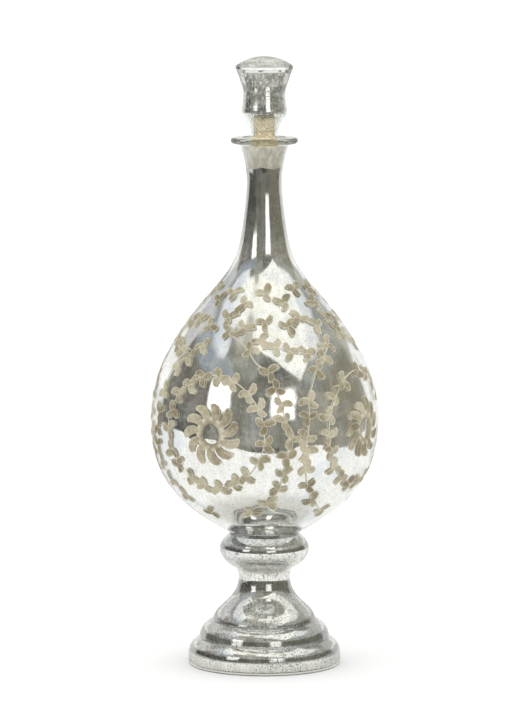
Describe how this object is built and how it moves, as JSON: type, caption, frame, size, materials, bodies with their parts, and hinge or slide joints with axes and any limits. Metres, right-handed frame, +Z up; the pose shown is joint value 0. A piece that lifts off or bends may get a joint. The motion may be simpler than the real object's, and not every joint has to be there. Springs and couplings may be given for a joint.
{
  "type": "stoppered scent bottle",
  "caption": "Tall footed scent bottle of silvered glass with wheel-cut flowers, a pear-shaped body, slim neck, flat collar and a lift-out corked knob stopper.",
  "frame": {"origin": "centre of the foot's resting ring, on the plane it stands on", "axes": "+Z up along the bottle's axis of revolution; +Y away from the viewer of its front, +X to the viewer's right"},
  "size_m": [0.1498, 0.1498, 0.4],
  "materials": {
    "seal_board": "felt-faced board",
    "foot_glass": "clear, blown, over silvering",
    "foot_silvering": "silvering with a pale speckled haze",
    "bottle_glass": "clear, blown, wheel-cut with matt flowers and leaves",
    "bottle_silvering": "silvering with small dark specks",
    "clear_glass": "clear with a faint grey-green tint",
    "knob_silvering": "silvering with dark specks and bare patches",
    "cork": "natural cork, turned"
  },
  "bodies": {
    "bottle": {"foot_seal": "seal_board", "foot_glass": "foot_glass", "foot_silver": "foot_silvering", "bottle_glass": "bottle_glass", "bottle_silver": "bottle_silvering", "mouth_collar": "clear_glass"},
    "stopper": {"stopper_glass": "clear_glass", "stopper_silver": "knob_silvering", "stopper_cork": "cork"}
  },
  "joints": [
    {"name": "stopper_lift", "type": "slide", "parent": "bottle", "child": "stopper", "axis": [0, 0, 1], "range_m": [0, 0.08]}
  ]
}
